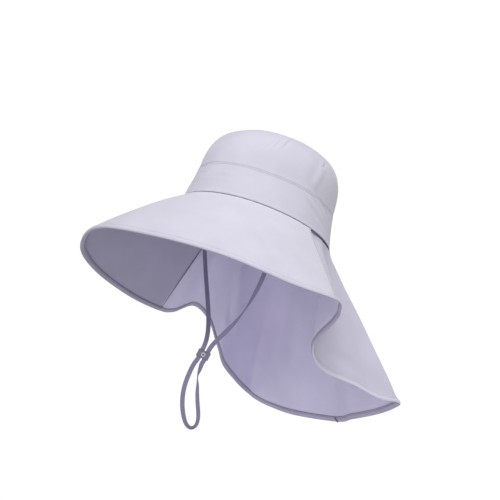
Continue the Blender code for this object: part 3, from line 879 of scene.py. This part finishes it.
def roll_window(away, sides):
    """Where the left side's hem rolls out: between the foot of its valley and its tail."""
    middle = (left_fold_share("valley_foot") + left_fold_share("side_tail")) / 2
    reach = left_fold_share("valley_foot") - middle
    rolled = np.where(sides > 0, bump_at(away, middle, reach * HEM_ROLL_REACH), 0)
    return HEM_ROLL_LEAST + (1 - HEM_ROLL_LEAST) * rolled


def crown_panel(name, node, grid, materials, uv=None):
    panel = grid_object(name, grid @ TIPPED.T, materials, uv=uv)
    weld(panel)
    thicken(panel, CROWN_CLOTH)
    dress(panel, node)


def make_crown(outer, inner):
    angle = np.linspace(0, 2 * pi, CROWN_COLUMNS + 1)[:, None]
    turns = angle / (2 * pi)

    # Band: rolled in at the brim seam below, and tucked under the wall's folded edge above.
    even = np.linspace(0, BAND_HEIGHT, BAND_ROWS)
    up = np.unique(np.concatenate([even, SEAM_STEPS, BAND_HEIGHT - SEAM_STEPS]).round(7))[None]
    grid = wall_points(angle, up)
    normal = grid_normals(grid, closed=True)
    shift = seam_relief("band_foot", up, turns) + seam_relief("band_top", BAND_HEIGHT - up, turns)
    shift = shift + unevenness("crown", grid) + crown_folds(angle, up)
    crown_panel("band_cloth", "crown_band", grid + normal * shift[..., None], [outer, inner])

    # Wall and shoulder in one cloth, up to the seam of the top panel.
    seam = tip_seam_turn(angle[:, 0])[:, None]
    straight = np.unique(np.concatenate([BAND_HEIGHT + SEAM_STEPS, [LAST_STRAIGHT_ROW]]))[None]
    part = np.unique(np.concatenate([np.linspace(0, 1, WALL_ROWS), 1 - SEAM_STEPS / WALL_REACH]))[None]
    grid = np.concatenate([wall_points(angle, straight), dome_points(angle, seam * part)], axis=1)
    normal = grid_normals(grid, closed=True)
    _, up = grid_lengths(grid)
    wall_length = up[:, -1:]
    shift = seam_relief("wall_foot", up, turns) + seam_relief("tip_seam", wall_length - up, turns)
    shift = shift + unevenness("crown", grid) + crown_folds(angle, BAND_HEIGHT + up)
    grid = grid + normal * shift[..., None]
    crown_panel("wall_cloth", "crown_wall", grid, [outer, inner])
    # The topstitching above the wall's folded edge lies in its groove.
    line = inset_line(up, grid) @ TIPPED.T
    stitch_row("band_stitches", line, inset_line(up, normal) @ TIPPED.T, BAND_STITCH_LIFT, THREAD)

    # Oval top panel.
    part = np.unique(np.concatenate([np.linspace(0, 1, TIP_ROWS), SEAM_STEPS / TIP_REACH]))[None]
    grid = dome_points(angle, seam + (pi / 2 - seam) * part)
    normal = grid_normals(grid, closed=True)
    normal[:, -1] = (0, 0, 1)
    _, up = grid_lengths(grid)
    shift = seam_relief("tip_seam", up, turns) + unevenness("crown", grid)
    shift = shift + crown_folds(angle, BAND_HEIGHT + wall_length + up)
    tip = grid + normal * shift[..., None]
    crown_panel("tip_cloth", "crown_tip", tip, [outer, inner], grid[..., :2])


def skirt_shares(edge, top, rows):
    """Shares up each rib, from the hem to the crown, with extra rows close to the crown."""
    length = np.linalg.norm(top - edge, axis=1)[:, None]
    start = SKIRT_START / length
    even = start + (1 - start) * np.linspace(0, 1, rows)[None]
    close = 1 - SEAM_STEPS[None] / length
    return np.sort(np.concatenate([even, close[:, 1:]], axis=1), axis=1), length


def make_brim(outer, under):
    edge, top, away = skirt_ribs(0, -1, 0.0, BRIM_COLUMNS)
    share, length = skirt_shares(edge, top, BRIM_ROWS)
    grid = rib_points(edge, top, away, BRIM_BOW, share)
    normal = grid_normals(grid)
    along, _ = grid_lengths(grid)
    from_seam = np.minimum(along, along[-1] - along)
    up = share * length
    left = length - up
    turns = along / along[-1]
    clear = 1 - bump_at(from_seam, 0, BRIM_CALM)
    shift = seam_relief("brim_top", left, turns) + seam_relief("brim_hem", up - HEM_WIDTH, turns)
    shift = shift + unevenness("brim", grid) * clear * np.sin(pi * share) ** 0.5
    # The side edges are folded over the flap and stitched down.
    shift = shift + ridges(BRIM_SIDE_RIDGES, from_seam)
    grid = grid + normal * shift[..., None]
    brim = grid_object("brim_cloth", grid, [outer, under])
    thicken(brim, BRIM_CLOTH)
    dress(brim, "brim")
    for name, step in (("right", 1), ("left", -1)):
        side_stitches(name, grid[::step], normal[::step])
    # Where a flap's last column lies: under the brim's edge, inside its thickness.
    laps = []
    for column, inner in ((-1, -2), (0, 1)):
        beside = unit(grid[inner] - grid[column])
        laps.append((share[column], grid[column] + beside * SEAM_LAP - normal[column] * SEAM_TUCK))
    return (edge, top, away), laps


def inset_line(places, values):
    """The values where the topstitching lies, one for each row of places from the cloth's edge."""
    return np.array([between(STITCH_INSET, place, row) for place, row in zip(places, values)])


def side_stitches(name, grid, normal):
    """The stitches beside one side seam of the brim, and a dark cord inside it: painted shadow along the
    seam.
    """
    along, _ = grid_lengths(grid[:SIDE_COLUMNS])
    line = inset_line(along.T, grid[:SIDE_COLUMNS].swapaxes(0, 1))
    ups = inset_line(along.T, normal[:SIDE_COLUMNS].swapaxes(0, 1))
    stitch_row(f"{name}_seam_stitches", line, ups, STITCH_LIFT, THREAD)
    inside = grid[0] - normal[0] * BRIM_CLOTH
    stitch_row(f"{name}_seam_painted_shadow", inside, -normal[0], SEAM_SHADOW_LIFT, DARK_THREAD_AND_SHADOW, EDGE_PITCH, EDGE_RADIUS)


def left_fold_share(name):
    """How far that turn of the hem's left side lies from the back middle, as a share of the side."""
    line = skirt_edges(1)[1]
    lengths = line_lengths(line)
    row = [fold["name"] for fold in LEFT_FLAP_FOLDS].index(name)
    return lengths[len(line) - 1 - (row + 1) * EDGE_STEPS] / lengths[-1]


def make_flap(outer, inner, laps):
    edge, top, away = skirt_ribs(1, 1, pi, FLAP_COLUMNS)
    share, length = skirt_shares(edge, top, FLAP_ROWS)
    grid = rib_points(edge, top, away, FLAP_BOW, share)
    normal = grid_normals(grid)
    along, _ = grid_lengths(grid)
    from_seam = np.minimum(along, along[-1] - along)
    up = share * length
    left = length - up
    turns = along / along[-1]
    clear = 1 - bump_at(from_seam, 0, FLAP_CALM)
    shift = seam_relief("flap_top", left, turns) + seam_relief("flap_hem", up - HEM_WIDTH, turns)
    shift = shift + unevenness("flap", grid * FLAP_GRAIN) * clear * np.sin(pi * share) ** 0.5
    # Behind each side seam the flap lies under the brim's edge, then dips in a valley.
    shift = shift - SEAM_TUCK * bump_at(from_seam, 0, TUCK_WIDTH)
    dip = (1 - bump_at(from_seam, 0, SEAM_VALLEY_START)) * np.exp(-from_seam / SEAM_VALLEY_FADE)
    high = np.clip((share - SEAM_VALLEY_FOOT) / SEAM_VALLEY_RISE, 0, 1) ** 1.5
    shift = shift - SEAM_VALLEY * dip * high * np.clip(left / SEAM_VALLEY_CLEAR, 0, 1)
    wrinkle = np.sin(2 * pi * left / TOP_WRINKLE_PITCH) * np.exp(-left / TOP_WRINKLE_FADE)
    shift = shift + TOP_WRINKLE * wrinkle * dip
    shift = shift + strokes(FLAP_STROKES, np.linspace(0, 1, len(away))[:, None], up, along[-1].max())
    sides = np.linspace(1, -1, len(away))[:, None]
    shift = shift - hem_roll(up, roll_window(away[:, None], sides))
    grid = grid + normal * shift[..., None]
    # One more column on each side runs under the brim's edge.
    ends = []
    for column, (shares, lap) in zip((0, -1), laps):
        ends.append(between(share[column], shares, lap))
    grid = np.concatenate([ends[0][None], grid, ends[1][None]])
    flap = grid_object("flap_cloth", grid, [outer, inner])
    thicken(flap, FLAP_CLOTH)
    dress(flap, "neck_flap")
    return flap, edge, top, away


def make_hem(name, node, panel, bow, deep, outer, inner, window, extra):
    """A folded edge: a rounded fold at the rim, and a stitched groove on both faces."""
    edge, top, away = panel
    strip = rib_points(edge, top, away, bow, HEM_STRIP[None] * np.ones((len(edge), 1)))
    normal = grid_normals(strip)[:, 0]
    up = unit(strip[:, 1] - strip[:, 0])
    far = line_lengths(edge)
    outside = [(row["up"], row["out"]) for row in HEM_FACE] + [(0.0002, -deep * 0.28)]
    inside = [(x, -deep - y) for x, y in outside[::-1]]
    section = np.array([*outside, (0.0, -deep / 2), *inside])
    thicker = np.array([0.0] * len(outside) + [0.5] + [1.0] * len(inside))
    outward = np.sign(section[:, 1] + deep / 2)
    gather = HEM_PUCKER * gathers(far / far[-1], far[-1], HEM_SEEDS[node], HEM_PUCKER_PITCH)[:, None]
    pull = HEM_THREAD_PULL * np.cos(2 * pi * far / STITCH_PITCH)[:, None]
    rise = gather * bump_at(section[:, 0], HEM_WIDTH * 0.45, 0.0022)
    rise = outward * (rise + pull * bump_at(section[:, 0], HEM_GROOVE, 0.0010))
    spread = 1 + ROLLED_HEM_SPREAD * window[:, None]
    across = section[None, :, :1] * spread[..., None]
    grid = (
        edge[:, None]
        + up[:, None] * across
        + normal[:, None] * (section[None, :, 1:] + rise[..., None])
        - normal[:, None] * hem_roll(across, window[:, None, None])
        - normal[:, None] * (thicker[None] * extra[:, None])[..., None]
    )
    uv = np.stack(np.broadcast_arrays(far[:, None], line_lengths(section)[None]), axis=-1)
    hem = grid_object(name, grid, [outer, inner], closed_rows=True, uv=uv)
    slots = [int(k % len(section) >= len(outside)) for k in range(len(hem.data.polygons))]
    hem.data.polygons.foreach_set("material_index", slots)
    close_ends(hem)
    dress(hem, node)
    line = edge + up * HEM_GROOVE * spread - normal * hem_roll(HEM_GROOVE * spread, window[:, None])
    stitch_row(f"{name}_stitches", line, normal, HEM_STITCH_LIFT, THREAD)
    under = line - normal * (deep + extra[:, None])
    stitch_row(f"{name}_under_stitches", under, -normal, STITCH_LIFT, DARK_THREAD_AND_SHADOW)
    # Along the fold's inner edge: partly its darker thread, partly painted shadow of the fold's edge.
    sunk = deep + hem_roll(HEM_WIDTH * spread, window[:, None]) + extra[:, None]
    whipped = edge + up * HEM_WIDTH * spread - normal * sunk
    stitch_row(f"{name}_inner_edge_thread_and_shadow", whipped, -normal, 0.0, DARK_THREAD_AND_SHADOW, EDGE_PITCH, HEM_EDGE_RADIUS)
    middle_depth = deep + hem_roll(HEM_WIDTH / 2, window[:, None]) + HEM_JOIN_DEPTH
    return hem, edge + up * HEM_WIDTH / 2 - normal * middle_depth, up, normal


def stitch_row(name, line, normal, lift, material, pitch=STITCH_PITCH, radius=STITCH_RADIUS):
    """Small thread stitches along a line that lies on the cloth."""
    length = STITCH_LENGTH if pitch == STITCH_PITCH else pitch * 1.1
    far = line_lengths(line)
    profile = ((-0.5, 0.25), (-0.38, 0.85), (0.0, 1.0), (0.38, 0.85), (0.5, 0.25))
    sides = 6
    verts, faces = [], []
    for place in (np.arange(int(far[-1] / pitch)) + 0.5) * pitch:
        base = len(verts)
        up = unit(between(place, far, normal))
        ends = between(place + length / 2, far, line), between(place - length / 2, far, line)
        ahead = unit(ends[0] - ends[1])
        out = np.cross(ahead, up)
        centre = between(place, far, line) + up * lift
        for step, size in profile:
            sink = -STITCH_SINK * (2 * step) ** 2
            for k in range(sides):
                turn = 2 * pi * k / sides
                around = (out * cos(turn) + up * sin(turn)) * size * radius
                verts.append(centre + ahead * step * length + up * sink + around)
        for ring in range(len(profile) - 1):
            for k in range(sides):
                a, b = base + ring * sides + k, base + ring * sides + (k + 1) % sides
                faces.append((a, b, b + sides, a + sides))
        faces.append(tuple(base + k for k in range(sides))[::-1])
        faces.append(tuple(base + (len(profile) - 1) * sides + k for k in range(sides)))
    mesh = bpy.data.meshes.new(name)
    mesh.from_pydata([tuple(v) for v in verts], [], faces)
    mesh.materials.append(material)
    mesh.shade_smooth()
    mesh.validate()
    return dress(link(bpy.data.objects.new(name, mesh)))


def make_crown_seam_shadow():
    """A dark cord in the groove all round the crown's foot: painted shadow along the seam."""
    angle = np.linspace(0, 2 * pi, SEAM_LINE_STEPS + 1)
    line = oval(angle, DITCH_DEPTH)
    out = unit(oval(angle) - line)
    stitch_row("crown_seam_painted_shadow", line @ TIPPED.T, out @ TIPPED.T, 0.0, DARK_THREAD_AND_SHADOW, EDGE_PITCH, DITCH_SHADOW_RADIUS)


def make_hem_join(middle, up, normal):
    """The dark slanted seam where the flap's hem is joined at the middle of the back."""
    centre = len(middle) // 2
    slant = unit(middle[centre + 1] - middle[centre - 1])
    steps = np.linspace(-0.5, 0.5, 9)[:, None]
    line = middle[centre] + steps * (up[centre] * HEM_JOIN_LENGTH + slant * HEM_JOIN_SLANT)
    facing = np.repeat(-normal[centre][None], len(line), axis=0)
    stitch_row("hem_join_stitches", line, facing, HEM_JOIN_LIFT, DARK_THREAD_AND_SHADOW, EDGE_PITCH, HEM_JOIN_RADIUS)


# Light and floor


def area_light(name, place, size, power):
    lamp = bpy.data.lights.new(name, "AREA")
    lamp.shape = "DISK"
    lamp.size = size
    lamp.energy = power
    made = bpy.data.objects.new(name, lamp)
    made.location = place
    made.rotation_euler = (LIGHTS_AIM - Vector(place)).to_track_quat("-Z", "Y").to_euler()
    link(made)


def make_studio():
    world = bpy.data.worlds.new("studio")
    world.use_nodes = True
    make, wire = node_maker(world)
    backdrop = world.node_tree.nodes["Background"]
    direction = make("ShaderNodeTexCoord")
    parts = make("ShaderNodeSeparateXYZ")
    wire(direction, "Generated", parts, "Vector")
    height = make("ShaderNodeMapRange", {"From Min": -1.0, "From Max": 1.0})
    wire(parts, "Z", height, "Value")
    ramp = make("ShaderNodeValToRGB")
    stops = ramp.color_ramp.elements
    for i, row in enumerate(SKY):
        stop = stops[i] if i < len(stops) else stops.new(row["height"])
        stop.position = row["height"]
        stop.color = (*[row["tone"]] * 3, 1)
    wire(height, "Result", ramp, "Fac")
    # The room is a little darker to the camera's left and right.
    towards = make("ShaderNodeVectorMath", operation="DOT_PRODUCT")
    towards.inputs[1].default_value = (cos(SHADE_AZIMUTH), sin(SHADE_AZIMUTH), 0.0)
    wire(direction, "Generated", towards, 0)
    shade = make(
        "ShaderNodeMapRange",
        {"From Min": SHADE_STARTS, "From Max": 1.0, "To Min": 1.0, "To Max": SHADE_LEVEL},
    )
    aside = make("ShaderNodeMath", operation="ABSOLUTE")
    wire(towards, "Value", aside, 0)
    wire(aside, "Value", shade, "Value")
    lit = make("ShaderNodeVectorMath", operation="SCALE")
    wire(ramp, "Color", lit, 0)
    wire(shade, "Result", lit, "Scale")
    wire(lit, "Vector", backdrop, "Color")
    bpy.context.scene.world = world
    mesh = bpy.data.meshes.new("studio_floor")
    plane = bmesh.new()
    bmesh.ops.create_circle(plane, cap_ends=True, radius=FLOOR_SIZE / 2, segments=96)
    plane.to_mesh(mesh)
    plane.free()
    floor = link(bpy.data.objects.new("studio_floor", mesh))
    floor.location = (0, 0, FLOOR_HEIGHT)
    paper = plain_material("floor_paper", FLOOR_COLOUR, roughness=0.9, grain=0.0, scale=3.0)
    mesh.materials.append(paper)
    for light in LIGHTS:
        area_light(**light)


bpy.context.scene.view_settings.view_transform = "Standard"
photo_camera()
STRAP = cloth_material(
    "strap_weave", STRAP_COLOUR, INNER_SHEEN, roughness=0.75, pitch=0.0007, relief=0.5, patch=0.06
)
THREAD = plain_material("sewing_thread", THREAD_COLOUR, roughness=0.7, grain=0.3, scale=2500.0)
# Real dark stitches, and painted shadow in seams and fold edges.
DARK_THREAD_AND_SHADOW = plain_material("inner_thread_and_painted_shadow", INNER_THREAD_AND_SHADOW_COLOUR, roughness=0.7, grain=0.3, scale=2500.0)
OUTER = cloth_material("outer_cloth", OUTER_COLOUR, OUTER_SHEEN)
# Lit copy of the outer cloth: painted light on the brim.
BRIM = cloth_material("brim_outer_cloth_painted_lighter", BRIM_PAINTED_LIGHTER_COLOUR, OUTER_SHEEN)
# Shaded copy of the outer cloth: painted shade on the flap.
FLAP = cloth_material("flap_outer_cloth_painted_darker", FLAP_PAINTED_DARKER_COLOUR, OUTER_SHEEN)
# Violet inside face, partly painted light for light through the thin cloth.
INNER = cloth_material("inner_cloth", INNER_COLOUR, INNER_SHEEN)
UNDER = cloth_material("brim_under_cloth", BRIM_UNDER_COLOUR, INNER_SHEEN)
HEM_INNER = cloth_material("hem_inner_cloth", HEM_INNER_COLOUR, INNER_SHEEN)
HEM_UNDER = cloth_material("brim_hem_under_cloth", HEM_UNDER_COLOUR, INNER_SHEEN)
make_strap(STRAP)
slider_object = bpy.data.objects["strap_slider"]
slider_object.data.materials.clear()
slider_plastic = plain_material("slider_plastic", SLIDER_COLOUR, roughness=0.35, grain=0.1)
slider_object.data.materials.append(slider_plastic)
make_crown(OUTER, INNER)
brim_panel, brim_laps = make_brim(BRIM, UNDER)
flap, *flap_panel = make_flap(FLAP, INNER, brim_laps)
brim_deep, flap_deep = BRIM_CLOTH + HEM_EXTRA, FLAP_CLOTH + HEM_EXTRA
flat = np.zeros(BRIM_COLUMNS + 1)
rim = RIM_EXTRA * (1 - brim_panel[2] ** 12)
make_hem("brim_hem_cloth", "brim_hem", brim_panel, BRIM_BOW, brim_deep, BRIM, HEM_UNDER, flat, rim)
rolled = roll_window(flap_panel[2], np.linspace(1, -1, FLAP_COLUMNS + 1))
even = np.zeros(FLAP_COLUMNS + 1)
# The flap's hem takes the brim's lighter cloth outside: a painted highlight along the rolled hem.
flap_hem, *join = make_hem(
    "flap_hem_cloth", "flap_hem", flap_panel, FLAP_BOW, flap_deep, BRIM, HEM_INNER, rolled, even
)
make_hem_join(*join)
make_crown_seam_shadow()
make_studio()
